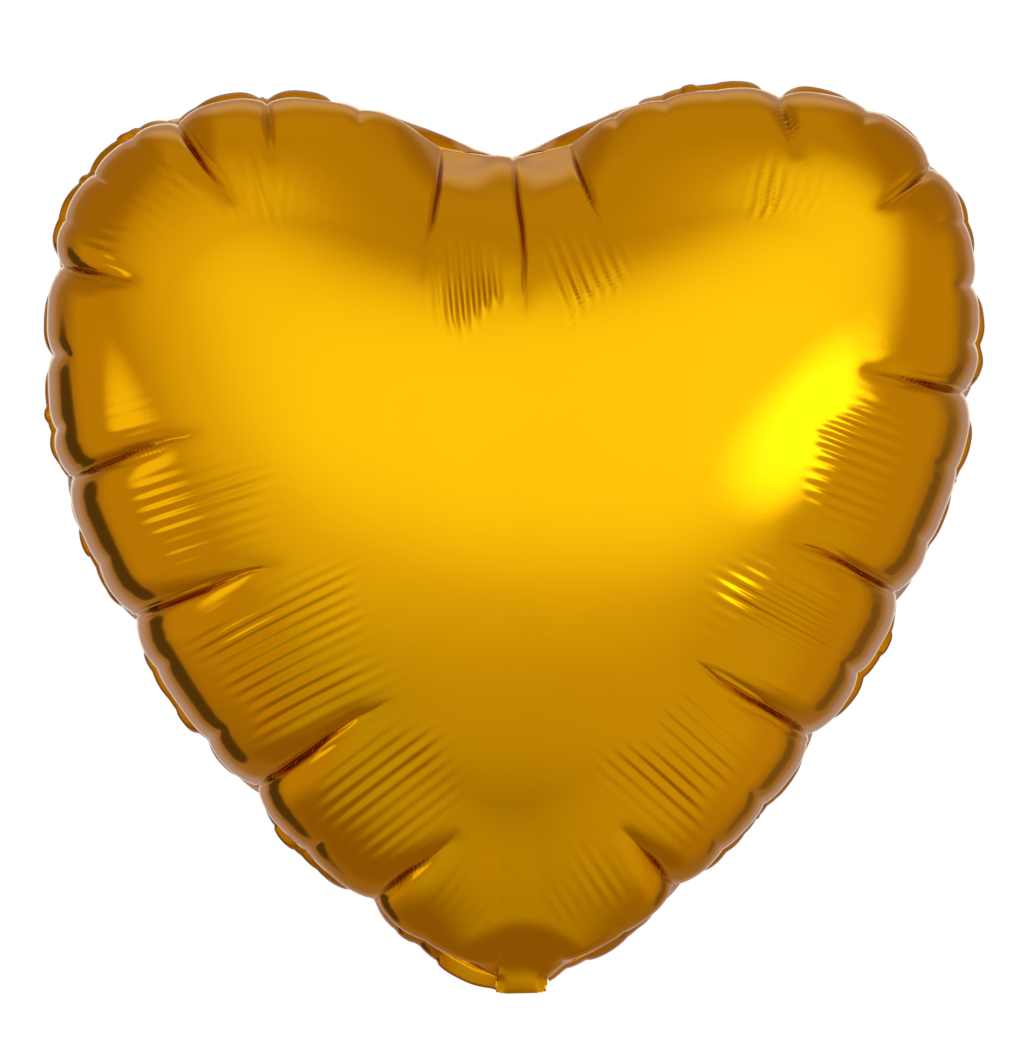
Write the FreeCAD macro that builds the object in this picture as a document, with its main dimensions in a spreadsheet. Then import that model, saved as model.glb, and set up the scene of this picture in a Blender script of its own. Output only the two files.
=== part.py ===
"""Heart-shaped foil balloon, filled, with its filling tail folded up behind it.

Frame: +Z up, +X to the right of someone facing the balloon, -Y towards them. The seam lies in the plane
y = 0, and the origin is at the bottom of the neck, on the line where the tail folds. All sizes are in mm.
"""

import FreeCAD, Part
import Sketcher
import math
import os

from FreeCAD import Placement, Rotation, Vector

# Driving dimensions: (alias, value, what it is).
SIZES = [
    ("film", 0.5, "thickness of one foil film"),
    ("flange", 8.0, "width of the heat-sealed band outside the seam"),
    ("tail_half", 11.6, "half of the tail's width"),
    ("fold_gap", 0.6, "room between the fold line and what hangs above it"),
    ("start_heading", 26.0, "direction in which the outline leaves the neck, degrees above level"),
    ("radius_tip", 235.0, "radius beside the tip"),
    ("turn_tip", 14.3, "turn beside the tip"),
    ("radius_side", 405.0, "radius of the long side"),
    ("turn_side", 28.4, "turn of the long side"),
    ("radius_waist", 196.0, "radius up to the widest place"),
    ("turn_waist", 31.3, "turn up to the widest place"),
    ("radius_shoulder", 72.0, "radius of the shoulder"),
    ("turn_shoulder", 67.0, "turn of the shoulder"),
    ("radius_crown", 166.0, "radius over the lobe's top"),
    ("turn_crown", 39.0, "turn over the lobe's top"),
    ("radius_cleft", 80.0, "radius down into the cleft"),
    ("cleft_half", 2.0, "half of the width of the cleft's bottom"),
    ("belly", 87.0, "how far each panel stands out from the seam's plane"),
    ("belly_height", 0.6, "height of the fullest place, as a share of the seam's height"),
    ("neck_depth", 2.5, "how far each panel stands out at the neck"),
    ("lobe_fullness", 0.35, "how much fuller the lobes are than a plain ellipse"),
    ("fold_back", 3.2, "how far behind the seam's plane the tail folds"),
    ("tail_lean", 40.0, "lean of the folded tail from upright, degrees"),
    ("tail_start", 1.0, "where the tail's films start, from the fold line"),
    ("tail_length", 60.0, "length of the tail below the fold line"),
    ("tail_stack", 0.75, "distance of each tail ply's inner face from the tail's middle"),
    ("tail_seal_width", 4.0, "width of each side weld of the tail"),
    ("tail_corner", 4.0, "corner radius of the tail's free end"),
    ("valve_width", 14.0, "width of the valve's films"),
    ("valve_film", 0.3, "thickness of one valve film"),
    ("valve_gap", 0.4, "room between the valve's two films"),
    ("valve_reach", 90.0, "length of the valve inside the balloon"),
    ("valve_inlet", 14.0, "distance of the valve's inlet from the tail's free end"),
    ("valve_seal_width", 2.0, "width of each side weld of the valve"),
    ("tack_length", 6.0, "length of the weld that holds the valve to the tail's back ply"),
]
OUTLINE_ARCS = ("tip", "side", "waist", "shoulder", "crown", "cleft")
RIM_STEP = 10.0  # spacing of a panel's control points along the seam
ACROSS_STEPS = 24  # a panel's control points from rim to rim, less one
GATHER = 1.8  # how far ahead of the seam the rows of control points run up the centre line
WELD_CLEARANCE = 0.1  # room between a panel and the band welded round it


def make_sheet(doc):
    """The spreadsheet that drives the model, and its values by alias."""
    sheet = doc.addObject("Spreadsheet::Sheet", "Sizes")
    for row, (alias, value, meaning) in enumerate(SIZES, start=1):
        sheet.set(f"A{row}", meaning)
        sheet.set(f"B{row}", str(value))
        sheet.setAlias(f"B{row}", alias)
    doc.recompute()
    return {alias: float(sheet.get(alias)) for alias, _, _ in SIZES}


class HalfOutline:
    """The right half of a heart: tangent arcs from the neck to the cleft, moved inwards by inset.

    A heading is the direction of travel, counted from +X towards +Z. The arcs keep their centres when the
    outline is inset, so every inset outline is parallel to the outer one.
    """

    def __init__(self, size, inset):
        self.arcs = []
        heading = math.radians(size["start_heading"])
        x = size["tail_half"] - inset * math.sin(heading)
        z = size["fold_gap"] + inset * math.cos(heading)
        for name in OUTLINE_ARCS:
            radius = size["radius_" + name] - inset
            centre_x = x - radius * math.sin(heading)
            centre_z = z + radius * math.cos(heading)
            if name == "cleft":
                turned = math.pi - math.asin((size["cleft_half"] - centre_x) / radius)
                end = turned if turned > heading else turned + 2 * math.pi
            else:
                end = heading + math.radians(size["turn_" + name])
            self.arcs.append((centre_x, centre_z, radius, heading, end))
            heading = end
            x = centre_x + radius * math.sin(heading)
            z = centre_z - radius * math.cos(heading)

    @staticmethod
    def on_arc(arc, heading):
        centre_x, centre_z, radius, _, _ = arc
        return centre_x + radius * math.sin(heading), centre_z - radius * math.cos(heading)

    def points(self, step):
        """Points along the outline, about step apart: the neck's end first, the cleft's last."""
        found = [self.on_arc(self.arcs[0], self.arcs[0][3])]
        for arc in self.arcs:
            _, _, radius, start, end = arc
            count = max(2, round(radius * (end - start) / step))
            for i in range(1, count + 1):
                found.append(self.on_arc(arc, start + (end - start) * i / count))
        return found

    def edges(self, side):
        """The arcs as edges in the seam's plane, on the right (side = 1) or the left (side = -1)."""
        made = []
        for arc in self.arcs:
            _, _, _, start, end = arc
            spots = [self.on_arc(arc, a) for a in (start, (start + end) / 2, end)]
            made.append(Part.Arc(*[Vector(side * x, 0, z) for x, z in spots]).toShape())
        return made

    def ends(self, side):
        first = self.on_arc(self.arcs[0], self.arcs[0][3])
        last = self.on_arc(self.arcs[-1], self.arcs[-1][4])
        return [Vector(side * x, 0, z) for x, z in (first, last)]


def spine_depth(size, height, bottom, top, belly, neck):
    """How far a panel stands out on the centre line, at a height between bottom and top."""
    share = (height - bottom) / (top - bottom)
    fullest = size["belly_height"]
    if share < fullest:
        return neck + (belly - neck) * math.sin(math.pi / 2 * share / fullest)
    return belly * math.sqrt(max(0.0, 1 - ((share - fullest) / (1 - fullest)) ** 2))


def dome_poles(size, inset):
    """Control points of a panel's surface: rows from the neck to the cleft, each from rim to rim."""
    rim = HalfOutline(size, size["flange"] + inset).points(RIM_STEP)
    neck_x, bottom = rim[0]
    top = rim[-1][1]
    belly = size["belly"] - inset
    neck = size["neck_depth"] - inset
    closing = size["film"] - inset
    rows = [(neck_x, size["fold_gap"], size["fold_gap"], neck, neck)]
    for i, (x, z) in enumerate(rim):
        along = i / (len(rim) - 1)
        middle = bottom + (top - bottom) * (1 - (1 - along) ** GATHER)
        spine = max(closing, spine_depth(size, middle, bottom, top, belly, neck))
        lobe = spine + size["lobe_fullness"] * belly * math.sin(math.pi * along) ** 2
        rows.append((x, z, middle, spine, lobe))
    poles = []
    for x, z, middle, spine, lobe in rows:
        row = []
        for j in range(ACROSS_STEPS + 1):
            angle = math.pi * (j / ACROSS_STEPS - 0.5)
            out = math.sin(angle) ** 2
            depth = (spine * (1 - out) + lobe * out) * math.cos(angle)
            row.append(Vector(x * math.sin(angle), depth, middle + (z - middle) * out))
        poles.append(row)
    return poles


def spline_surface(poles, degrees):
    """A clamped spline surface with those control points and degrees, along its rows and across them."""
    knots, mults = [], []
    for count, degree in zip((len(poles), len(poles[0])), degrees):
        spans = count - degree
        knots.append([float(i) for i in range(spans + 1)])
        mults.append([degree + 1] + [1] * (spans - 1) + [degree + 1])
    surface = Part.BSplineSurface()
    surface.buildFromPolesMultsKnots(
        poles, mults[0], mults[1], knots[0], knots[1], False, False, degrees[0], degrees[1]
    )
    return surface.toShape()


def border_rows(poles):
    """The control points of a surface's four sides: neck, cleft, left rim and right rim."""
    return poles[0], poles[-1], [row[0] for row in poles], [row[-1] for row in poles]


def dome_solid(size):
    """A panel bulging towards +Y: an outer and an inner surface, closed along all four sides."""
    outer = dome_poles(size, 0.0)
    inner = dome_poles(size, size["film"])
    faces = [spline_surface(outer, (3, 3)), spline_surface(inner, (3, 3))]
    for pair in zip(border_rows(outer), border_rows(inner)):
        faces.append(spline_surface(pair, (1, 3)))
    shell = Part.makeShell(faces)
    shell.sewShape()
    solid = Part.makeSolid(shell)
    if solid.Volume < 0:
        solid.reverse()
    return solid


def flange_solid(size):
    """The heat-sealed band round the balloon, two films thick and open at the neck."""
    outer = HalfOutline(size, 0.0)
    inner = HalfOutline(size, size["flange"] - WELD_CLEARANCE)
    neck_x = inner.ends(1)[0].x + WELD_CLEARANCE
    edges = []
    for side in (1, -1):
        outer_neck, outer_cleft = outer.ends(side)
        inner_neck, inner_cleft = inner.ends(side)
        corner = Vector(side * neck_x, 0, size["fold_gap"])
        edges += outer.edges(side) + inner.edges(side)
        edges.append(Part.makeLine(outer_neck, corner))
        edges.append(Part.makeLine(corner, inner_neck))
    edges.append(Part.makeLine(outer.ends(1)[1], outer.ends(-1)[1]))
    edges.append(Part.makeLine(inner.ends(1)[1], inner.ends(-1)[1]))
    wire = Part.Wire(Part.__sortEdges__(edges))
    band = Part.Face(wire).extrude(Vector(0, 2 * size["film"], 0))
    band.translate(Vector(0, -size["film"], 0))
    return band


def shaped_part(doc, name, shape, placement=None):
    """A sub-part whose shape comes from this file's own surfaces and outlines."""
    feature = doc.addObject("Part::Feature", name)
    feature.Label = name
    feature.Shape = shape
    feature.Placement = placement or Placement()
    return feature


def origin_plane(body, role):
    return next(f for f in body.Origin.OriginFeatures if f.Role == role)


def strip(doc, name, width, length, left, bottom, thickness, placement):
    """A flat strip of film or weld, as a body: its sketch lies in the body's XZ plane, padded both ways.

    width, length, left, bottom and thickness are expressions in the sheet's aliases. The placement puts
    the middle of the strip's thickness where it belongs.
    """
    body = doc.addObject("PartDesign::Body", name)
    body.Label = name
    sketch = body.newObject("Sketcher::SketchObject", name + "_outline")
    sketch.AttachmentSupport = [(origin_plane(body, "XZ_Plane"), "")]
    sketch.MapMode = "FlatFace"
    corners = [Vector(1, 1, 0), Vector(6, 1, 0), Vector(6, 9, 0), Vector(1, 9, 0)]
    for i in range(4):
        sketch.addGeometry(Part.LineSegment(corners[i], corners[(i + 1) % 4]), False)
    constraints = [Sketcher.Constraint("Coincident", i, 2, (i + 1) % 4, 1) for i in range(4)]
    constraints += [Sketcher.Constraint("Horizontal", i) for i in (0, 2)]
    constraints += [Sketcher.Constraint("Vertical", i) for i in (1, 3)]
    sketch.addConstraint(constraints)
    bound = (
        ("width", "DistanceX", (0, 1, 0, 2), 5.0, width),
        ("length", "DistanceY", (1, 1, 1, 2), 8.0, length),
        ("left", "DistanceX", (-1, 1, 0, 1), 1.0, left),
        ("bottom", "DistanceY", (-1, 1, 0, 1), 1.0, bottom),
    )
    for label, kind, spots, start, expression in bound:
        index = sketch.addConstraint(Sketcher.Constraint(kind, *spots, start))
        sketch.renameConstraint(index, label)
        sketch.setExpression("Constraints." + label, expression)
    pad = body.newObject("PartDesign::Pad", name + "_pad")
    pad.Profile = sketch
    pad.SideType = "Symmetric"
    pad.setExpression("Length", thickness)
    doc.recompute()
    body.Placement = placement
    return body


def round_free_end(doc, body, height, radius):
    """Rounds the two corners of a strip at the given height of its own frame."""
    pad = body.Tip
    picked = []
    for i, edge in enumerate(pad.Shape.Edges, start=1):
        ends = [v.Point for v in edge.Vertexes]
        across = abs(ends[0].y - ends[1].y) > 1e-6
        if across and all(abs(p.z - height) < 1e-4 for p in ends):
            picked.append(f"Edge{i}")
    fillet = body.newObject("PartDesign::Fillet", body.Name + "_corners")
    fillet.Base = (pad, picked)
    fillet.setExpression("Radius", radius)
    doc.recompute()
    body.Tip = fillet


def tail_place(size, stack):
    """Where a strip of the folded tail goes: leaned back about the fold line, stack out from its middle."""
    lean = Rotation(Vector(1, 0, 0), -size["tail_lean"])
    return Placement(Vector(0, size["fold_back"], 0) + lean.multVec(Vector(0, stack, 0)), lean)


def upright_place(stack):
    return Placement(Vector(0, stack, 0), Rotation())


def make_tail(doc, size):
    """The tail's plies, side welds and the part of the valve that lies between them."""
    parts = []
    ply = size["tail_stack"] + size["film"] / 2
    for name, stack in (("tail_front_ply", ply), ("tail_back_ply", -ply)):
        body = strip(
            doc,
            name,
            "2 * Sizes.tail_half",
            "Sizes.tail_length - Sizes.tail_start",
            "-Sizes.tail_half",
            "Sizes.tail_start",
            "Sizes.film",
            tail_place(size, stack),
        )
        round_free_end(doc, body, size["tail_length"], "Sizes.tail_corner")
        parts.append(body)
    lefts = (
        ("tail_seal_left", "-Sizes.tail_half"),
        ("tail_seal_right", "Sizes.tail_half - Sizes.tail_seal_width"),
    )
    for name, left in lefts:
        parts.append(
            strip(
                doc,
                name,
                "Sizes.tail_seal_width",
                "Sizes.tail_length - Sizes.tail_start - Sizes.tail_corner",
                left,
                "Sizes.tail_start",
                "2 * Sizes.tail_stack",
                tail_place(size, 0.0),
            )
        )
    inlet = "Sizes.tail_length - Sizes.valve_inlet - Sizes.tail_start"
    valve = (size["valve_gap"] + size["valve_film"]) / 2
    for name, stack in (("tail_valve_front_film", valve), ("tail_valve_back_film", -valve)):
        parts.append(
            strip(
                doc,
                name,
                "Sizes.valve_width",
                inlet,
                "-Sizes.valve_width / 2",
                "Sizes.tail_start",
                "Sizes.valve_film",
                tail_place(size, stack),
            )
        )
    lefts = (
        ("tail_valve_seal_left", "-Sizes.valve_width / 2"),
        ("tail_valve_seal_right", "Sizes.valve_width / 2 - Sizes.valve_seal_width"),
    )
    for name, left in lefts:
        parts.append(
            strip(
                doc,
                name,
                "Sizes.valve_seal_width",
                inlet,
                left,
                "Sizes.tail_start",
                "Sizes.valve_gap",
                tail_place(size, 0.0),
            )
        )
    tack = (size["tail_stack"] + size["valve_gap"] / 2 + size["valve_film"]) / 2
    parts.append(
        strip(
            doc,
            "valve_tack_weld",
            "Sizes.valve_width",
            "Sizes.tack_length",
            "-Sizes.valve_width / 2",
            "Sizes.tail_length - Sizes.valve_inlet - Sizes.tack_length",
            "Sizes.tail_stack - Sizes.valve_gap / 2 - Sizes.valve_film",
            tail_place(size, -tack),
        )
    )
    return parts


def make_valve(doc, size):
    """The self-sealing valve inside the balloon: two clear films welded along both sides."""
    parts = []
    stack = (size["valve_gap"] + size["valve_film"]) / 2
    for name, side in (("valve_front_film", -1), ("valve_back_film", 1)):
        parts.append(
            strip(
                doc,
                name,
                "Sizes.valve_width",
                "Sizes.valve_reach",
                "-Sizes.valve_width / 2",
                "Sizes.fold_gap",
                "Sizes.valve_film",
                upright_place(side * stack),
            )
        )
    lefts = (
        ("valve_seal_left", "-Sizes.valve_width / 2"),
        ("valve_seal_right", "Sizes.valve_width / 2 - Sizes.valve_seal_width"),
    )
    for name, left in lefts:
        parts.append(
            strip(
                doc,
                name,
                "Sizes.valve_seal_width",
                "Sizes.valve_reach",
                left,
                "Sizes.fold_gap",
                "Sizes.valve_gap",
                upright_place(0.0),
            )
        )
    return parts


def check(doc, parts):
    """Stops before anything is written if a feature failed or a sub-part isn't a sound solid."""
    for item in doc.Objects:
        if "Invalid" in item.State or "Error" in item.State:
            raise RuntimeError(f"{item.Name} is {item.State}")
    for part in parts:
        if part.Shape.isNull() or not part.Shape.isValid() or not part.Shape.Solids:
            raise RuntimeError(f"{part.Label} has no sound solid")


def main():
    doc = FreeCAD.newDocument("foil_heart_balloon")
    size = make_sheet(doc)
    dome = dome_solid(size)
    facing = Placement(Vector(), Rotation(Vector(0, 0, 1), 180))
    parts = [
        shaped_part(doc, "front_panel", dome, facing),
        shaped_part(doc, "back_panel", dome),
        shaped_part(doc, "heat_seal_rim", flange_solid(size)),
    ]
    parts += make_valve(doc, size)
    parts += make_tail(doc, size)
    doc.recompute()
    check(doc, parts)
    os.makedirs("parts", exist_ok=True)
    for part in parts:
        part.Shape.exportStep(f"parts/{part.Label}.step")
        print(f"{part.Label}: {part.Shape.Volume:.1f} mm3")


main()
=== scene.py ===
"""Heart-shaped foil balloon: the crinkled foil, its seam band and its tail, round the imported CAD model.

Lengths are in millimetres until a mesh is made, and in metres from there on. The seam's plane is y = 0,
+Z is up and the front faces -Y.
"""

import math

import bpy
import numpy as np
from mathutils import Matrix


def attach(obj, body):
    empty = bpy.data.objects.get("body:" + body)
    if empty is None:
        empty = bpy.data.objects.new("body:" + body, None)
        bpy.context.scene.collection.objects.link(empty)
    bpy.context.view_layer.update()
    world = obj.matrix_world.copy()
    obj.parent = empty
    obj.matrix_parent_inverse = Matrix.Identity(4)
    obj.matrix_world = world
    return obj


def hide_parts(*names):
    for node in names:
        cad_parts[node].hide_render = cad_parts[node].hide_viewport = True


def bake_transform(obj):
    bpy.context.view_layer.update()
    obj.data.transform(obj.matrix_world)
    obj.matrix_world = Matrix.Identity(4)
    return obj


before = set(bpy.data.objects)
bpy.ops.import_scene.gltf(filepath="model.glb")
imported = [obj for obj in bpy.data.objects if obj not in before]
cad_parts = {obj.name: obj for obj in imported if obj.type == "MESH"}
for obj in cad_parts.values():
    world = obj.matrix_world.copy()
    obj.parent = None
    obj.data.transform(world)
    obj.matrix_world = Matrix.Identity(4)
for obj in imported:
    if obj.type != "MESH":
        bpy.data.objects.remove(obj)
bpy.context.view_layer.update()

MM = 0.001
SEED = 20

# The heart's outline, as in the CAD model: a heading in degrees, then tangent arcs (radius, turn).
START_X, START_Z, START_HEADING = 11.6, 0.6, 26.0
ARCS = [(235.0, 14.3), (405.0, 28.4), (196.0, 31.3), (72.0, 67.0), (166.0, 39.0), (80.0, None)]
CLEFT_HALF = 2.0
SEAM_INSET = 4.0      # the seam lies this far inside the outline that the scallops reach
BELLY = 84.0          # how far the foil stands out from the seam's plane
BELLY_HEIGHT = 0.6    # at this share of the height
NECK_DEPTH = 1.7      # and how far at the neck
LOBE_FULLNESS = 0.35  # the lobes are rounder than the middle by this share
GATHER = 1.8          # how far the lines across the panel sag towards the neck
ROWS = 700            # mesh rows along each side of the seam, from neck to cleft
NECK_ROWS = 28
COLUMNS = 66          # mesh columns from the middle of a panel out to its rim
MIDDLE = (0.0, 205.0)  # where the rows of a panel's mesh meet

PUFF = 4.4            # how far the scallops swell beyond the seam
PUFF_RISE = 11.0      # they are full this far from the seam
PUFF_FADE = (16.0, 70.0)  # and die away towards the middle: from this far, over this much
PUFF_CLEAR = (8.0, 24.0)  # the neck stays flat: out to this radius, then over this much

# Creases that the pinched seam sends into the front panel, on each side: distance along the seam from the
# neck, length, lean towards the cleft in degrees, depth. Lengths are as seen from the front.
FRONT_CREASES = {
    -1: [
        (1, 15, 3, 2.5), (58.6, 47, -9, 5.0), (124.5, 70, -7, 6.0), (208.5, 66, -9, 6.0),
        (269.5, 60, 1, 5.0), (320.5, 13, -7, 4.0), (356.5, 40, -5, 5.0), (398, 17, 8, 3.0),
        (439.5, 46, 18, 5.5), (477, 27, 6, 4.5), (514, 10, 10, 2.6), (550.5, 61, 17, 2.2),
    ],
    1: [
        (9, 10, 1, 2.5), (64, 36, 2, 4.6), (145.5, 62, -4, 6.0), (212.5, 54, 0, 5.5),
        (297.5, 47, 3, 5.5), (340.5, 11, 0, 4.0), (391.5, 32, -2, 5.0), (426, 10, -8, 3.0),
        (462, 30, -16, 4.5), (508, 9, 0, 2.4), (550, 54, 7, 2.2), (575, 60, 40, 2.6),
    ],
}
LONG_CREASE = 50.0    # creases shorter than this are narrower and straighter
BESIDE_DEPTH = 0.9    # each long crease has a fainter one on both sides
SCALLOP_STEP = 27.0   # the smaller scallops come about this far apart
SCALLOP_DEPTH = 2.6
SCALLOP_REACH = 9.0

# Fine ripples of the gathered film, between the creases: side, distance along the seam, half-width along
# it, first and last distance from the rim, lean in degrees, amplitude, how sharply they end.
FRONT_RIPPLES = [
    (-1, 92, 30, 14, 72, -8, 0.34, 0.2), (-1, 166, 38, 16, 86, -8, 0.36, 0.2),
    (-1, 240, 26, 16, 78, -6, 0.32, 0.2), (-1, 285, 14, 16, 60, 0, 0.14, 0.0),
    (-1, 338, 16, 10, 40, -6, 0.10, 0.0), (-1, 372, 16, 8, 38, 0, 0.26, 0.3),
    (-1, 414, 24, 16, 44, 12, 0.26, 0.3), (-1, 458, 16, 22, 54, 10, 0.24, 0.2),
    (-1, 502, 26, 22, 58, 4, 0.12, 0.0), (-1, 562, 26, 34, 70, 37, 0.26, 1.0),
    (-1, 28, 20, 14, 40, -6, 0.12, 0.0),
    (1, 106, 34, 12, 66, -2, 0.34, 0.2), (1, 180, 30, 12, 70, -2, 0.38, 0.2),
    (1, 255, 36, 8, 56, 2, 0.26, 0.9), (1, 318, 14, 10, 40, 2, 0.08, 0.0),
    (1, 450, 24, 32, 48, 0, 0.30, 1.0), (1, 472, 12, 20, 46, -10, 0.16, 0.0),
    (1, 560, 20, 34, 66, 14, 0.34, 1.0), (1, 34, 24, 14, 44, 2, 0.12, 0.0),
]
RIPPLE_LENGTH = 4.7

# Where the flat seam band turns out past the scallops and shows as a leaf, on each side: distance along
# the seam, half-length, how far it opens in degrees.
LEAVES = {
    -1: [
        (4, 20, 40), (20, 24, 20), (50, 14, 14), (88, 20, 40), (108, 12, 20), (150, 18, 26),
        (176, 20, 44), (232, 18, 34), (252, 14, 26), (284, 16, 38), (306, 12, 28), (334, 16, 36),
        (378, 18, 44), (408, 16, 40), (426, 12, 30), (456, 20, 36), (488, 14, 28),
    ],
    1: [
        (34, 16, 20), (92, 16, 24), (122, 16, 30), (176, 22, 42), (200, 12, 28), (246, 18, 34),
        (276, 14, 34), (320, 20, 46), (366, 14, 30), (414, 16, 24), (446, 14, 30), (484, 16, 30),
        (506, 12, 26),
    ],
}
LEAF_SHARE = 0.76     # the leaves are opened to this share of the angles above
CLEFT_LEAF = (552.0, 29.0)  # behind the cleft the band shows on both sides: middle, half-length
CLEFT_EDGE = ((51.4, 355.2), (2.6, 334.6))  # its outer edge is pulled straight there, from x, z to x, z
CLEFT_TUCK = 4.0      # and the front film is tucked in by this much there
CLEFT_TUCK_FADE = 46.0
CLEFT_LIFT = 7.0      # the foot of the cleft rides up by this much
CLEFT_LIFT_FADE = 45.0
WAIST = (368.0, 105.0, 4.2)  # the left lobe is drawn in a little: middle, half-length, depth
WAIST_FADE = 90.0

BAND_WIDTH = 8.0
BAND_HALF_THICK = 0.09
NECK_BAND = {-1: (0.85, 0.0), 1: (0.55, 1.0)}  # beside the neck: share of its width, share of its splay
BAND_FOLD = 66.0      # the band is turned back by about this much, in degrees

FOLD_TOP = 0.4        # the panels run down to this height at the neck
FOLD_BACK = 3.2       # the tail folds this far behind the seam's plane
TAIL_LEAN = 40.0      # how far from straight up it leans when it is folded, in degrees
TAIL_LENGTH = 60.0
TAIL_HALF = 11.6
TAIL_NECK_STEP = 1.6  # inside the neck the plies are narrower by this on each side
TAIL_CORNER = 4.0
TAIL_PLY_THICK = 0.1

FOLD_SHADE_COLOUR = (0.24, 0.030, 0.002, 1.0)  # painted shade: the foil's colour is darkened to this deep in a sharp fold


def smooth(x):
    """0 up to x = 0, 1 from x = 1 on, and an even rise between."""
    x = np.clip(x, 0.0, 1.0)
    return x * x * (3 - 2 * x)


class Outline:
    """The right half of the heart inset by a distance: points, headings and distances along it."""

    def __init__(self, inset, count):
        heading = math.radians(START_HEADING)
        x = START_X - inset * math.sin(heading)
        z = START_Z + inset * math.cos(heading)
        spots = []
        for radius, turn in ARCS:
            radius -= inset
            centre_x = x - radius * math.sin(heading)
            centre_z = z + radius * math.cos(heading)
            if turn is None:
                end = math.pi - math.asin((CLEFT_HALF - centre_x) / radius)
                end += 2 * math.pi if end < heading else 0.0
            else:
                end = heading + math.radians(turn)
            angle = np.linspace(heading, end, 400)
            arc_x = centre_x + radius * np.sin(angle)
            arc_z = centre_z - radius * np.cos(angle)
            spots.append(np.stack([arc_x, arc_z, angle], 1))
            heading = end
            x, z = spots[-1][-1][:2]
        track = np.concatenate(spots)
        length = np.concatenate([[0], np.cumsum(np.hypot(*np.diff(track[:, :2], axis=0).T))])
        self.along = np.linspace(0, length[-1], count)
        self.x, self.z, self.heading = (np.interp(self.along, length, track[:, k]) for k in range(3))


def make_grid(rim):
    """Points of the seam's plane inside the rim: rows from the middle out, one after another round it."""
    right = np.stack([rim.x, rim.z], 1)
    share = np.linspace(-1, 1, NECK_ROWS + 2)[1:-1]
    low = FOLD_TOP + (rim.z[0] - FOLD_TOP) * np.abs(share) ** 14
    neck = np.stack([rim.x[0] * share, low], 1)
    edge = np.concatenate([right, right[::-1] * (-1, 1), neck])
    # The columns lie close together at the rim, and far apart near the middle.
    count = np.arange(COLUMNS - 1)
    step = (0.7 + 1.3 * smooth(count / 10.0)) * 1.14 ** np.clip(count - 50, 0, None)
    reach = 1 - np.concatenate([[0], 0.988 * np.cumsum(step) / step.sum()])[::-1]
    return MIDDLE + (edge - MIDDLE)[:, None] * reach[None, :, None]


def base_panel(flat):
    """A panel's smooth shape, bulging towards +Y, over points of the seam's plane."""
    rim = Outline(SEAM_INSET, 8000)
    x, z = np.abs(flat[..., 0]), flat[..., 1]
    bottom, top = rim.z[0], rim.z[-1]
    share = rim.along / rim.along[-1]
    gathered = 1 - (1 - share) ** GATHER
    middle = bottom + (top - bottom) * gathered
    climb = np.sin(np.pi / 2 * np.minimum(gathered / BELLY_HEIGHT, 1))
    rising = NECK_DEPTH + (BELLY - NECK_DEPTH) * climb
    past = np.clip((gathered - BELLY_HEIGHT) / (1 - BELLY_HEIGHT), 0, 1)
    spine = np.where(gathered < BELLY_HEIGHT, rising, BELLY * np.sqrt(1 - past ** 2))
    lobe = spine + LOBE_FULLNESS * BELLY * np.sin(np.pi * share) ** 2

    def at(place, values):
        return np.interp(place, rim.along, values)

    def out(place):
        return np.minimum(x / at(place, rim.x), 1.0) ** 2

    # Each point lies on a curve that joins a height on the middle line to a place on the rim. Halving the
    # stretch of rim that it can end on finds that place.
    widest = int(np.argmax(rim.x))
    low = np.interp(x, rim.x[: widest + 1], rim.along[: widest + 1])
    high = np.interp(-x, -rim.x[widest:], rim.along[widest:])
    for _ in range(40):
        half = (low + high) / 2
        height = at(half, middle)
        above = height + (at(half, rim.z) - height) * out(half) > z
        high = np.where(above, half, high)
        low = np.where(above, low, half)
    spread = out(low)
    y = (at(low, spine) * (1 - spread) + at(low, lobe) * spread) * np.sqrt(1 - spread)
    y[: 2 * ROWS, -1] = 0.0
    return np.stack([flat[..., 0], y, z], 2)


def grid_normals(points):
    """Outward normals of a panel that bulges towards +Y."""
    onward = np.roll(points, -1, 0) - np.roll(points, 1, 0)
    outward = np.gradient(points, axis=1)
    normal = np.cross(onward, outward)
    normal *= np.sign(normal[..., 1].sum())
    return normal / np.maximum(np.linalg.norm(normal, axis=2, keepdims=True), 1e-9)


def seam_distance(points):
    """Distance of every point from the rim, along its own row; in the neck, as on the row beside it."""
    step = np.linalg.norm(np.diff(points, axis=1), axis=2)[:, ::-1]
    run = np.concatenate([np.zeros((len(points), 1)), np.cumsum(step, axis=1)], axis=1)
    reach = run[:, ::-1].copy()
    reach[2 * ROWS :] = np.interp(points[2 * ROWS :, :, 2], points[0, ::-1, 2], reach[0, ::-1])
    return reach


def from_rim(points, rim, side, place, lean):
    """Where points lie, seen from the front, from a place on the rim: inwards along a lean, and across."""
    x, z, heading = (np.interp(place, rim.along, line) for line in (rim.x, rim.z, rim.heading))
    travel = np.array([side * math.cos(heading), math.sin(heading)])
    inward = np.array([-side * math.sin(heading), math.cos(heading)])
    lean = math.radians(lean)
    along = math.cos(lean) * inward + math.sin(lean) * travel
    across = math.cos(lean) * travel - math.sin(lean) * inward
    away = points[..., (0, 2)] - (side * x, z)
    return away @ along, away @ across


def scallop_puff(points, reach):
    """How far the foil swells beyond its smooth shape, behind the pinched seam."""
    start, length = PUFF_FADE
    puff = PUFF * smooth(reach / PUFF_RISE) * (1 - smooth((reach - start) / length))
    radius, fade = PUFF_CLEAR
    return puff * smooth((np.hypot(points[..., 0], points[..., 2]) - radius) / fade)


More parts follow.
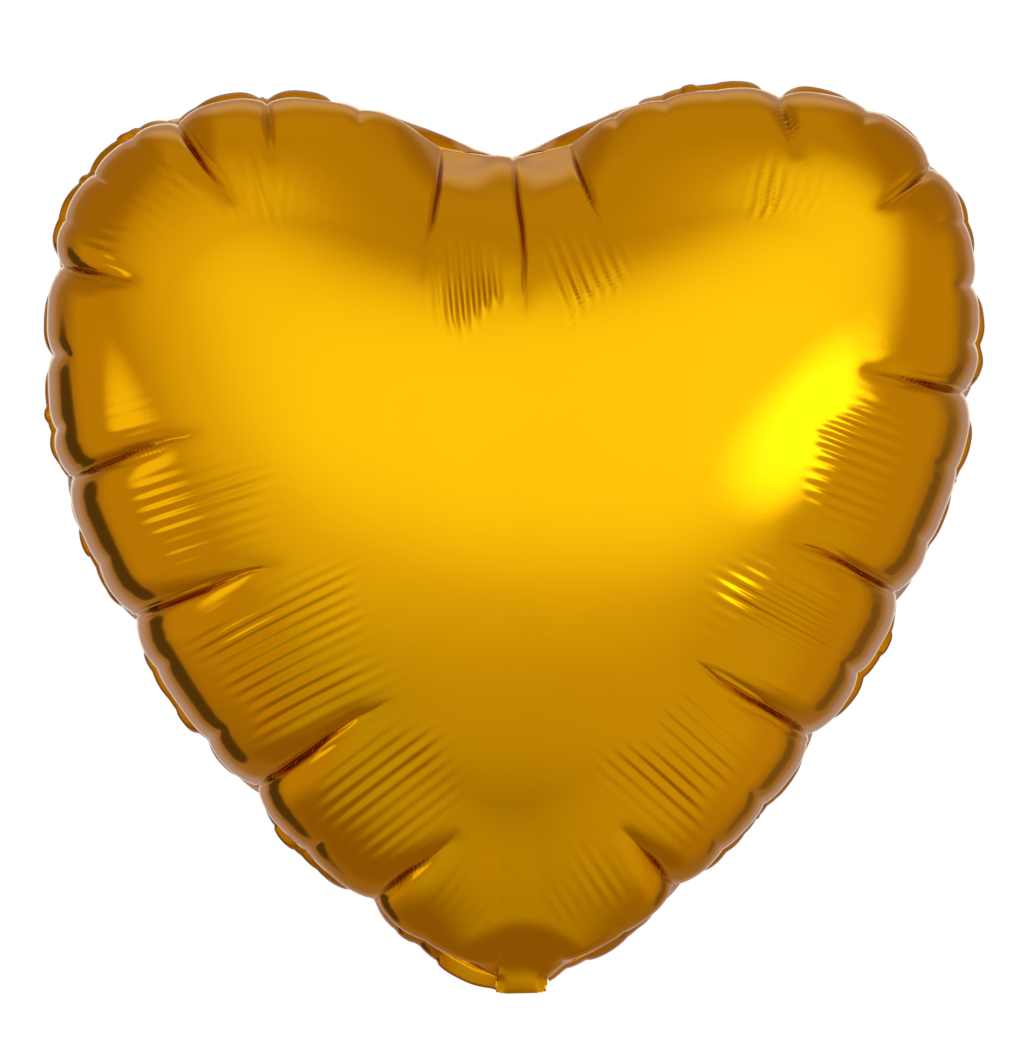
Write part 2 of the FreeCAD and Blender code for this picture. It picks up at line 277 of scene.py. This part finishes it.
def one_crease(points, reach, rim, which, crease, phase):
    """How far a crease draws the foil in at every point, and how deep in its sharp fold each lies."""
    place, length, lean, depth = crease
    far, across = from_rim(points, rim, which, place, lean)
    share = np.clip(far / length, 0, 1)
    size = min(1.0, length / LONG_CREASE)
    bow = 1.2 * np.sin(far / 8.5 + phase) * share
    kinks = 0.5 * np.abs((far / 7.0 + phase) % 2 - 1) * share
    across = across + size * (bow + kinks)
    # Where the crease runs aslant to the mesh's rows, its slit is wider, so that the mesh can show it.
    to_middle, aside = from_rim(np.array([MIDDLE[0], 0, MIDDLE[1]]), rim, which, place, lean)
    slant = abs(aside) / math.hypot(to_middle, aside)
    valley_width = (17.0 - 10.0 * share) * (0.5 + 0.5 * size)
    valley = (1 - np.clip(np.abs(across) / valley_width, 0, 1)) ** 2 * (1 - share) ** 0.9
    slit_width = (1.6 + 1.6 * slant) * (1 - 0.4 * share) * (0.7 + 0.3 * smooth(far / 16.0))
    slit = (1 - np.clip(np.abs(across) / slit_width, 0, 1)) ** 1.4
    taper = (0.45 + 0.55 * smooth(far / 18.0)) * smooth((1 - share) / 0.7)
    slit = slit * taper * min(1.0, length / 34)
    here = (far > -12) & (np.abs(across) < 20)
    by_seam = 0.5 + 0.5 * smooth(reach / 10.0)
    drawn = np.where(here, 0.62 * depth * (valley + slit) * by_seam, 0.0)
    return drawn, np.where(here, slit * min(1.0, depth / 2.0), 0.0)


def ripple_patch(points, rim, ripple, phase):
    """How far a patch of fine ripples moves the foil out and in."""
    which, place, half, first, last, lean, height, end = ripple
    far, across = from_rim(points, rim, which, place, lean)
    uneven = 4.0 * np.sin(across / 9.0 + phase) + 2.0 * np.sin(across / 3.7 + 2 * phase)
    drift = 0.5 * np.sin(far / 21.0 + phase) + 0.7 * np.sin(across / 13.0 + 2 * phase)
    wave = np.sin(2 * np.pi * (across + drift) / RIPPLE_LENGTH)
    beat = 0.62 + 0.24 * np.sin(across / 6.1 + far / 23.0 + phase)
    beat = beat + 0.14 * np.sin(across / 2.9 + 3 * phase)
    span = 1 - smooth(np.abs(across) / half * 1.3 - 0.3)
    fade = 26.0 - 20.0 * end
    depth = smooth((far - first - uneven) / 14.0) * (1 - smooth((far - last + fade + uneven) / fade))
    depth = depth * (1 + 1.2 * end * smooth((far - last + 24.0) / 16.0))
    on_side = (points[..., 0] < 0) == (which < 0)
    return np.where(on_side, height * wave * beat * span * depth, 0.0)


def creased(points, rim, creases, ripples, draw):
    """The panel's points moved in and out along its normals: puffed scallops, sharp creases, ripples.

    The second result says how deep in a sharp fold each point lies, from 0 to 1; the foil's material
    paints shade there from it.
    """
    reach = seam_distance(points)
    move = scallop_puff(points, reach)
    folded = np.zeros(reach.shape)
    for which in (-1, 1):
        for crease in creases[which]:
            drawn, fold = one_crease(points, reach, rim, which, crease, draw.uniform(0, 6.3))
            move = move - drawn
            folded = np.maximum(folded, fold)
    for ripple in ripples:
        move = move + ripple_patch(points, rim, ripple, draw.uniform(0, 6.3))
    moved = points + grid_normals(points) * move[..., None]
    return moved, folded * (0.25 + 0.75 * smooth(reach / 30.0))


def with_scallops(creases, rim, draw):
    """The named creases, with smaller ones between them so that the rim is scalloped all round."""
    full = {}
    for which, named in creases.items():
        made = list(named)
        for place, length, lean, depth in named:
            if length > 28 and depth > 3:
                for sign in (-1, 1):
                    beside = place + sign * draw.uniform(1.6, 3.2)
                    its_length = length * draw.uniform(0.9, 1.15)
                    its_lean = lean + sign * draw.uniform(-1, 3)
                    made.append((beside, its_length, its_lean, BESIDE_DEPTH))
        stops = sorted([place for place, *_ in named] + [0.0, rim.along[-1]])
        for low, high in zip(stops, stops[1:]):
            gaps = round((high - low) / SCALLOP_STEP)
            for i in range(1, gaps):
                place = low + (high - low) * i / gaps + draw.uniform(-6, 6)
                depth = SCALLOP_DEPTH * draw.uniform(0.35, 1.4)
                made.append((place, SCALLOP_REACH * draw.uniform(0.7, 1.5), draw.uniform(-10, 10), depth))
        full[which] = made
    return full


def back_creases(draw, rim):
    """The back panel's own creases: pinched at much the same places, with other lengths and leans."""
    full = {}
    for which, named in FRONT_CREASES.items():
        full[which] = [
            (
                float(np.clip(place + draw.uniform(-9, 9), 3, rim.along[-1] - 3)),
                length * draw.uniform(0.6, 1.15),
                lean + draw.uniform(-6, 6),
                depth * draw.uniform(0.75, 1.1),
            )
            for place, length, lean, depth in named
        ]
    return full


def back_ripples(draw):
    """The back panel's own ripples, in much the same places, fainter and with softer ends."""
    full = []
    for which, place, half, first, last, lean, height, _ in FRONT_RIPPLES:
        its_place = place + draw.uniform(-5, 5)
        its_height = height * draw.uniform(0.6, 1.0)
        full.append((which, its_place, half, first, last, lean, its_height, 0.2))
    return full


def add_mesh(name, points, faces, smooth_faces=True):
    """A mesh object made from points in millimetres."""
    mesh = bpy.data.meshes.new(name)
    mesh.from_pydata((np.asarray(points, float).reshape(-1, 3) * MM).tolist(), [], faces)
    mesh.validate()
    mesh.polygons.foreach_set("use_smooth", [smooth_faces] * len(mesh.polygons))
    mesh.update()
    made = bpy.data.objects.new(name, mesh)
    bpy.context.scene.collection.objects.link(made)
    return made


def grid_faces(rows, cols, flip=False):
    """Quads between the points of an open grid."""
    i, j = np.meshgrid(np.arange(rows - 1), np.arange(cols - 1), indexing="ij")
    a = (i * cols + j).ravel()
    quads = np.stack([a, a + 1, a + cols + 1, a + cols], 1)
    return (quads[:, ::-1] if flip else quads).tolist()


def near_place(rim, place, half, steepness):
    """1 round a place on the seam, falling to 0 at a half-length from it."""
    return smooth(steepness * (1 - np.abs(rim.along - place) / half))


def seam_shift(rim, creases):
    """How far the shared seam is pulled in at every row, on one side, by the creases that meet it."""
    shift = np.zeros(len(rim.along))
    for place, length, _, depth in creases:
        width = 15.0 * (0.5 + 0.5 * min(1.0, length / LONG_CREASE))
        shift += 0.72 * depth * (1 - np.clip(np.abs(rim.along - place) / width, 0, 1)) ** 2
    return shift * (1 - 0.7 * near_place(rim, *CLEFT_LEAF, 1.5))


def round_rim(left, right):
    """Values along the left and the right side of the seam, in the order of the mesh's rows."""
    return np.concatenate([right, left[::-1], np.zeros(NECK_ROWS)])


def panel_faces(flip):
    """Quads between the rows, which close on themselves, and a fan of triangles in the middle."""
    count = 2 * ROWS + NECK_ROWS
    faces = []
    for i in range(count):
        here, after = i * COLUMNS, (i + 1) % count * COLUMNS
        for j in range(COLUMNS - 1):
            faces.append((here + j, here + j + 1, after + j + 1, after + j))
        faces.append((count * COLUMNS, here, after))
    return [face[::-1] for face in faces] if flip else faces


def panel_points(grid):
    """The grid's points, and one more in the middle where the rows meet."""
    middle = grid[:, 0].mean(0, keepdims=True)
    return np.concatenate([grid.reshape(-1, 3), middle])


def neck_spread(z):
    """How much wider the foil is towards its lowest edge, where the neck begins."""
    return 1 + 0.18 * smooth((8.0 - z) / 8.0)


def with_neck(panel, rim, front):
    """The panel's lowest part drawn into the flat neck; the front one runs down over the tail's fold."""
    x, y, z = panel[..., 0], panel[..., 1], panel[..., 2]
    x = x * neck_spread(z)
    if front:
        edge = np.interp(z, rim.z[:200], rim.x[:200] * neck_spread(rim.z[:200]))
        lift = 2.6 * np.exp(-((np.maximum(z - 4.2, 0) / 16.0) ** 2)) - 0.75 * np.maximum(4.2 - z, 0)
        low = smooth((edge - np.abs(x)) / 5.0)
        y = y + lift * low
        z = z - 1.9 * smooth((7.0 - z) / 7.0) * np.minimum(1, 3 * low)
    return np.stack([x, y, z], 2)


def make_foil():
    """Both panels, welded along one seam, and the seam's own line on each side."""
    rim = Outline(SEAM_INSET, ROWS)
    base = base_panel(make_grid(rim))
    draw = np.random.default_rng(SEED)
    front_list = with_scallops(FRONT_CREASES, rim, draw)
    back_list = with_scallops(back_creases(draw, rim), rim, draw)
    front, front_folds = creased(base, rim, front_list, FRONT_RIPPLES, draw)
    back, back_folds = creased(base, rim, back_list, back_ripples(draw), draw)
    reach = seam_distance(base)
    normal = grid_normals(base)
    tuck = CLEFT_TUCK * near_place(rim, *CLEFT_LEAF, 1.3)
    tuck = round_rim(tuck, tuck)[:, None]
    place, half, depth = WAIST
    waist = depth * near_place(rim, place, half, 1.6)
    waist = round_rim(waist, 0 * waist)[:, None]
    shifts = [
        0.7 * seam_shift(rim, front_list[which]) + 0.3 * seam_shift(rim, back_list[which])
        for which in (-1, 1)
    ]
    pull = round_rim(*shifts)[:, None] + tuck + waist
    seam = base - normal[:, -1:] * pull[..., None]
    tuck = tuck * (1 - smooth(reach / CLEFT_TUCK_FADE))
    waist = waist * (1 - smooth(reach / WAIST_FADE))
    front = front - normal * (tuck + waist)[..., None]
    back = back - normal * waist[..., None]
    rise = CLEFT_LIFT * smooth((rim.along - rim.along[-1] + 32.0) / 30.0)
    rise = round_rim(rise, rise)[:, None] * (1 - smooth(reach / CLEFT_LIFT_FADE))
    up = rise[..., None] * np.array([0, 0, 1])
    near = (1 - smooth(reach / 9.0))[..., None]
    front = with_neck(seam * near + front * (1 - near) + up, rim, True) * np.array([1, -1, 1])
    back = with_neck(seam * near + back * (1 - near) + up, rim, False)
    seam_line = {-1: back[ROWS : 2 * ROWS, -1][::-1], 1: back[:ROWS, -1]}
    pieces = []
    for name, grid, folds in (
        ("front_panel_foil", front, front_folds),
        ("back_panel_foil", back, back_folds),
    ):
        piece = add_mesh(name, panel_points(grid), panel_faces(grid is front))
        # How deep each point lies in a sharp fold, which the foil's material turns into painted shade.
        fold = piece.data.attributes.new("fold", "FLOAT", "POINT")
        fold.data.foreach_set("value", np.append(folds.ravel(), 0.0).astype(np.float32))
        pieces.append(piece)
    return rim, seam_line, pieces


def cleft_fold(line, outward, width, which):
    """The fold in degrees that brings the band's outer edge at the cleft onto a straight line."""
    (far_x, far_z), (near_x, near_z) = CLEFT_EDGE
    across = np.array([-(far_z - near_z) * which, 0, far_x - near_x])
    gap = ((which * far_x, 0, far_z) - line) @ across / (outward @ across)
    return np.degrees(np.arccos(np.clip(gap / width, 0.05, 0.99)))


def make_band(rim, seam_line):
    """The flat heat-sealed band outside the seam, turned back behind the scallops save at its leaves."""
    draw = np.random.default_rng(SEED + 1)
    along = rim.along
    at_cleft = smooth((along - CLEFT_LEAF[0] + CLEFT_LEAF[1] + 6) / 8.0)
    sides = {}
    for which in (1, -1):
        line = seam_line[which] * np.array([1, 0, 1])
        by_neck, splay = NECK_BAND[which]
        heading = rim.heading * (splay + (1 - splay) * smooth(along / 14.0))
        outward = np.stack([which * np.sin(heading), np.zeros(ROWS), -np.cos(heading)], 1)
        fold = BAND_FOLD + 4 * np.sin(along / 15.0 + draw.uniform(0, 6))
        for place, half, opening in LEAVES[which]:
            bow = np.sqrt(np.clip(1 - ((along - place) / half) ** 2, 0, 1))
            fold -= LEAF_SHARE * opening * bow
        width = BAND_WIDTH * (by_neck + (1 - by_neck) * smooth(along / 30.0))
        pulled = cleft_fold(line, outward, width, which)
        fold = np.minimum(fold, 84) * (1 - at_cleft) + pulled * at_cleft
        fold = np.radians(np.clip(fold, 2, 87))
        rows = []
        for share in np.arange(7) / 6:
            bend = fold * (0.85 + 0.2 * share)
            step = width * share
            point = line + outward * (step * np.cos(bend))[:, None]
            point[:, 1] += step * np.sin(bend)
            rows.append(point)
        band = np.stack(rows, 1)
        sine, cosine = np.sin(fold), np.cos(fold)
        face = np.stack([-sine * outward[:, 0], cosine, -sine * outward[:, 2]], 1)[:, None]
        low, high = band - face * BAND_HALF_THICK, band + face * BAND_HALF_THICK
        sides[which] = np.concatenate([low, high[:, ::-1]], 1)
    loop = np.concatenate([sides[1], sides[-1][::-1]], 0)
    rows, cols = loop.shape[:2]
    faces = []
    for i in range(rows - 1):
        for j in range(cols):
            a, b = i * cols + j, i * cols + (j + 1) % cols
            faces.append((a, b, b + cols, a + cols))
    faces.append(tuple(range(cols))[::-1])
    faces.append(tuple((rows - 1) * cols + j for j in range(cols)))
    return add_mesh("seam_band", loop, faces)


def tail_path(step):
    """The middle of the tail, from inside the neck, round the fold and up behind: points and headings."""
    lean = math.radians(TAIL_LEAN)
    start_z, fold_z = 6.0, 0.6
    radius = (FOLD_BACK * math.cos(lean) + fold_z * math.sin(lean)) / (1 + math.cos(lean))
    turn = math.pi - lean
    legs = [(start_z - fold_z, 0.0), (radius * turn, 1 / radius), (TAIL_LENGTH, 0.0)]
    y, z, angle = 0.0, start_z, 0.0
    points = [(y, z, angle)]
    for length, curve in legs:
        count = max(2, round(length / step))
        for _ in range(count):
            angle += curve * length / count / 2
            y += math.sin(angle) * length / count
            z -= math.cos(angle) * length / count
            angle += curve * length / count / 2
            points.append((y, z, angle))
    return np.array(points)


def make_tail_ply(name, layer):
    """One of the tail's two plies, with its welded edges pressed flat and a soft swell over the valve."""
    path = tail_path(0.7)
    share = np.linspace(-1, 1, 41)
    rows, cols = len(path), len(share)
    draw = np.random.default_rng(SEED + 5)
    y, z, angle = path.T
    run = np.concatenate([[0], np.cumsum(np.hypot(np.diff(y), np.diff(z)))])
    half = TAIL_HALF - TAIL_NECK_STEP * (1 - smooth((run - 12) / 8.0))
    round_off = np.clip(TAIL_CORNER - (run[-1] - run), 0, TAIL_CORNER)
    half = half - TAIL_CORNER + np.sqrt(TAIL_CORNER**2 - round_off**2)
    aside = np.abs(share)[None, :]
    swell = 0.22 + 0.62 * smooth((0.80 - aside) / 0.18)
    wave = 0.16 * np.sin(run[:, None] / 2.3 + 3 * share[None, :] + draw.uniform(0, 6))
    wave = wave * smooth((run - 12) / 10)[:, None]
    crimp = 0.05 * np.sin(run * 2 * np.pi / 1.6)[:, None] * (aside > 0.84)
    away = layer * (swell + 0.5 * wave * smooth((0.75 - aside) / 0.2)) + crimp
    curl = 2.2 * smooth((run - 20) / 60)[:, None] * aside**2
    out = np.stack([0 * angle, -np.cos(angle), -np.sin(angle)], 1)[:, None, :]
    points = np.zeros((rows, cols, 3))
    points[..., 0] = half[:, None] * share[None, :]
    points[..., 1:] = path[:, None, :2]
    points = points + out * (away - curl)[..., None]
    both = np.concatenate([points, points + out * layer * TAIL_PLY_THICK], 0)
    lid = rows * cols
    faces = grid_faces(rows, cols, layer > 0)
    faces += [[v + lid for v in quad] for quad in grid_faces(rows, cols, layer < 0)]
    border = list(range(cols))
    border += [i * cols + cols - 1 for i in range(1, rows)]
    border += [(rows - 1) * cols + j for j in range(cols - 2, -1, -1)]
    border += [i * cols for i in range(rows - 2, 0, -1)]
    for a, b in zip(border, border[1:] + border[:1]):
        quad = [a, b, b + lid, a + lid]
        faces.append(quad if layer > 0 else quad[::-1])
    return add_mesh(name, both, faces)


def node(tree, kind, **inputs):
    """A shader node with some of its inputs set."""
    made = tree.nodes.new(kind)
    for key, value in inputs.items():
        made.inputs[key.replace("_", " ")].default_value = value
    return made


def mapped(tree, value, soft=False, **inputs):
    """A socket's value mapped from one range to another and held at both ends."""
    made = node(tree, "ShaderNodeMapRange", **inputs)
    made.interpolation_type = "SMOOTHSTEP" if soft else "LINEAR"
    tree.links.new(value, made.inputs["Value"])
    return made.outputs["Result"]


def noise(tree, place, scale, detail):
    """A soft mottling over the surface, from 0 to 1."""
    made = node(tree, "ShaderNodeTexNoise", Scale=scale, Detail=detail)
    tree.links.new(place, made.inputs["Vector"])
    return made.outputs["Fac"]


def bumped(tree, height, strength, distance, under=None):
    """The normal of a bump, laid over another bump's normal if there is one."""
    made = node(tree, "ShaderNodeBump", Strength=strength, Distance=distance)
    tree.links.new(height, made.inputs["Height"])
    if under:
        tree.links.new(under, made.inputs["Normal"])
    return made.outputs["Normal"]


def two_tone(tree, value, tones, positions=(0.0, 1.0)):
    """A colour that goes from one tone to another."""
    made = tree.nodes.new("ShaderNodeValToRGB")
    for element, tone, position in zip(made.color_ramp.elements, tones, positions):
        element.position = position
        element.color = (*tone, 1.0)
    tree.links.new(value, made.inputs["Fac"])
    return made.outputs["Color"]


def foil_material(name, colour, roughness, fine, crimp=0.0):
    """Gold-lacquered metallised film: drifts of colour and gloss, fine crinkles, and painted shade that
    darkens it in its folds.
    """
    material = bpy.data.materials.new(name)
    material.use_nodes = True
    tree = material.node_tree
    shader = tree.nodes["Principled BSDF"]
    shader.inputs["Metallic"].default_value = 1.0
    shader.inputs["Coat Roughness"].default_value = 0.06
    shader.inputs["Coat IOR"].default_value = 2.0
    place = tree.nodes.new("ShaderNodeTexCoord").outputs["Object"]

    # Painted shade: the deeper a point lies in a sharp fold, the more its base colour is darkened to a
    # deep red-brown, and the less coat it has.
    fold = tree.nodes.new("ShaderNodeAttribute")
    fold.attribute_name = "fold"
    inside = mapped(tree, fold.outputs["Fac"], True, From_Min=0.15, From_Max=0.65, To_Max=0.88)
    deeper = [0.93 * c for c in colour]
    tint = two_tone(tree, noise(tree, place, 9.0, 3.0), (deeper, colour), (0.3, 0.7))
    shade = tree.nodes.new("ShaderNodeMix")
    shade.data_type = "RGBA"
    shade.inputs["B"].default_value = FOLD_SHADE_COLOUR
    tree.links.new(inside, shade.inputs["Factor"])
    tree.links.new(tint, shade.inputs["A"])
    tree.links.new(shade.outputs["Result"], shader.inputs["Base Color"])

    edge = tree.nodes.new("ShaderNodeLayerWeight")
    lacquer = mapped(tree, edge.outputs["Facing"], From_Min=0.42, From_Max=0.80)
    open_coat = tree.nodes.new("ShaderNodeMath")
    open_coat.operation = "SUBTRACT"
    open_coat.use_clamp = True
    tree.links.new(lacquer, open_coat.inputs[0])
    tree.links.new(inside, open_coat.inputs[1])
    tree.links.new(open_coat.outputs["Value"], shader.inputs["Coat Weight"])

    span = {"To_Min": roughness * 0.85, "To_Max": roughness * 1.2}
    gloss = mapped(tree, noise(tree, place, 60.0, 4.0), **span)
    tree.links.new(gloss, shader.inputs["Roughness"])

    normal = bumped(tree, noise(tree, place, 240.0, 3.0), fine, 0.0004)
    if crimp:
        wave = node(tree, "ShaderNodeTexWave", Scale=620.0, Distortion=1.5, Detail=1.0)
        wave.bands_direction = "DIAGONAL"
        tree.links.new(place, wave.inputs["Vector"])
        normal = bumped(tree, wave.outputs["Fac"], crimp, 0.0003, normal)
    tree.links.new(normal, shader.inputs["Normal"])
    return material


def clear_material(name):
    """Thin clear polyethylene: slightly cloudy, with soft draw lines."""
    material = bpy.data.materials.new(name)
    material.use_nodes = True
    tree = material.node_tree
    shader = tree.nodes["Principled BSDF"]
    shader.inputs["Alpha"].default_value = 0.55
    shader.inputs["IOR"].default_value = 1.5
    place = tree.nodes.new("ShaderNodeTexCoord").outputs["Object"]
    haze = noise(tree, place, 35.0, 4.0)
    tint = two_tone(tree, haze, ((0.78, 0.80, 0.79), (0.92, 0.93, 0.92)))
    tree.links.new(tint, shader.inputs["Base Color"])
    tree.links.new(mapped(tree, haze, To_Min=0.12, To_Max=0.32), shader.inputs["Roughness"])
    lines = node(tree, "ShaderNodeTexWave", Scale=160.0, Distortion=2.0)
    tree.links.new(place, lines.inputs["Vector"])
    tree.links.new(bumped(tree, lines.outputs["Fac"], 0.25, 0.0002), shader.inputs["Normal"])
    return material


def direction(azimuth, elevation):
    """A unit vector: azimuth 0 is in front of the balloon, 90 to its right, 180 behind it."""
    a, e = math.radians(azimuth), math.radians(elevation)
    return (math.sin(a) * math.cos(e), -math.cos(a) * math.cos(e), math.sin(e))


# The studio round the balloon: azimuth, elevation, inner and outer half-angle, colour. Each is laid over
# the ones before it.
STUDIO = [
    (0, 90, 15, 50, (0.53, 0.385, 0.20)),
    (-6, -46, 14, 44, (0.56, 0.50, 0.21)),
    (28, -32, 14, 48, (0.64, 0.51, 0.25)),
    (-145, -74, 26, 54, (0.30, 0.18, 0.06)),
    (97, 45, 14, 32, (0.40, 0.25, 0.10)),
    (-97, 45, 14, 32, (0.38, 0.24, 0.10)),
    (-65, -2, 4, 15, (1.05, 0.92, 0.66)),
    (-2, 13, 8, 62, (0.93, 0.83, 0.58)),
    (14, 19, 12, 47, (1.18, 1.20, 1.00)),
    (36, 4, 7, 20, (2.20, 2.20, 1.90)),
    (180, 0, 64, 86, (0.36, 0.22, 0.10)),
    (180, 50, 12, 30, (0.63, 0.51, 0.74)),
    (-117, -4, 8, 12, (0.09, 0.06, 0.03)),
    (-118, -16, 8, 12, (0.09, 0.06, 0.03)),
    (-120, -27, 8, 12, (0.09, 0.06, 0.03)),
    (-123, -37, 7, 11, (0.09, 0.06, 0.03)),
    (118, 2, 5, 10, (0.30, 0.20, 0.08)),
    (119, -8, 5, 10, (0.26, 0.17, 0.07)),
    (120, -18, 5, 9, (0.20, 0.13, 0.06)),
    (122, -27, 5, 9, (0.20, 0.13, 0.06)),
    (125, -36, 5, 9, (0.20, 0.13, 0.06)),
    (180, 5, 40, 55, (0.46, 0.33, 0.33)),
    (180, 8, 10, 30, (0.95, 0.84, 0.60)),
]
STUDIO_BASE = (0.55, 0.38, 0.17)


def make_world():
    """Plain soft studio light: broad in front, dimmer above and below, pale behind, dark flags beside.

    What the camera sees of it directly is plain white.
    """
    world = bpy.data.worlds.new("studio")
    bpy.context.scene.world = world
    world.use_nodes = True
    tree = world.node_tree
    tree.nodes.clear()
    place = tree.nodes.new("ShaderNodeTexCoord")
    colour = None
    for azimuth, elevation, inner, outer, shade in STUDIO:
        dot = tree.nodes.new("ShaderNodeVectorMath")
        dot.operation = "DOT_PRODUCT"
        dot.inputs[1].default_value = direction(azimuth, elevation)
        tree.links.new(place.outputs["Generated"], dot.inputs[0])
        far, near = math.cos(math.radians(outer)), math.cos(math.radians(inner))
        cover = mapped(tree, dot.outputs["Value"], True, From_Min=far, From_Max=near)
        mix = tree.nodes.new("ShaderNodeMix")
        mix.data_type = "RGBA"
        tree.links.new(cover, mix.inputs["Factor"])
        if colour is None:
            mix.inputs["A"].default_value = (*STUDIO_BASE, 1)
        else:
            tree.links.new(colour, mix.inputs["A"])
        mix.inputs["B"].default_value = (*shade, 1)
        colour = mix.outputs["Result"]
    seen = tree.nodes.new("ShaderNodeLightPath")
    light = tree.nodes.new("ShaderNodeBackground")
    tree.links.new(colour, light.inputs["Color"])
    page = tree.nodes.new("ShaderNodeBackground")
    page.inputs["Color"].default_value = (1, 1, 1, 1)
    choose = tree.nodes.new("ShaderNodeMixShader")
    tree.links.new(seen.outputs["Is Camera Ray"], choose.inputs["Fac"])
    tree.links.new(light.outputs["Background"], choose.inputs[1])
    tree.links.new(page.outputs["Background"], choose.inputs[2])
    out = tree.nodes.new("ShaderNodeOutputWorld")
    tree.links.new(choose.outputs["Shader"], out.inputs["Surface"])


def make_floor():
    """A plain pale floor well below the balloon."""
    half, drop = 1400.0, -900.0
    corners = [(-half, -half, drop), (half, -half, drop), (half, half, drop), (-half, half, drop)]
    floor = add_mesh("floor", corners, [(0, 1, 2, 3)], False)
    material = bpy.data.materials.new("floor_pale")
    material.use_nodes = True
    shader = material.node_tree.nodes["Principled BSDF"]
    shader.inputs["Base Color"].default_value = (0.86, 0.86, 0.85, 1)
    shader.inputs["Roughness"].default_value = 0.7
    floor.data.materials.append(material)
    floor.visible_glossy = False


def make_camera():
    """Square on to the balloon, from far enough back that it looks as flat as in a product shot."""
    distance, width, height, roll = 2.4, 0.4113, 0.1884, 1.1
    data = bpy.data.cameras.new("camera")
    data.sensor_fit = "HORIZONTAL"
    data.sensor_width = 36.0
    data.lens = data.sensor_width * distance / width
    data.clip_end = 20.0
    camera = bpy.data.objects.new("camera", data)
    camera.location = (0, -distance, height)
    camera.rotation_euler = (math.radians(90), 0, 0)
    camera.rotation_euler.rotate_axis("Z", math.radians(-roll))
    bpy.context.scene.collection.objects.link(camera)
    bpy.context.scene.camera = camera


def dress(piece, material, body=None):
    """Gives a piece its material and slot, and the body that it rides on if it doesn't bend."""
    piece.data.materials.clear()
    piece.data.materials.append(material)
    if body:
        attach(piece, body)


bpy.context.scene.view_settings.view_transform = "Standard"
make_camera()
make_world()
make_floor()
foil = foil_material("gold_foil", (0.90, 0.486, 0.003), 0.10, 0.04)
# The weld is a darker, redder copy of the foil. Its base colour is painted shade for the band's and tail's
# dimmer reflections; its crimp and rougher gloss are the band's own.
shaded_weld = foil_material("gold_weld", (0.80, 0.38, 0.004), 0.14, 0.15, 0.06)
clear = clear_material("clear_film")

rim, seam_line, panels = make_foil()
for piece, name in zip(panels, ("front_panel", "back_panel")):
    dress(piece, foil, "balloon")
    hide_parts(name)
band = make_band(rim, seam_line)
dress(band, shaded_weld, "balloon")
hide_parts("heat_seal_rim")

for name, layer, nodes in (
    ("tail_front_foil", 1, ("tail_front_ply", "tail_seal_left", "tail_seal_right")),
    ("tail_back_foil", -1, ("tail_back_ply",)),
):
    ply = make_tail_ply(name, layer)
    dress(ply, shaded_weld)
    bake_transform(ply)
    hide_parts(*nodes)

for name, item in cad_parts.items():
    if name.startswith("valve_") or name.startswith("tail_valve_"):
        item.data.materials.clear()
        item.data.materials.append(clear)
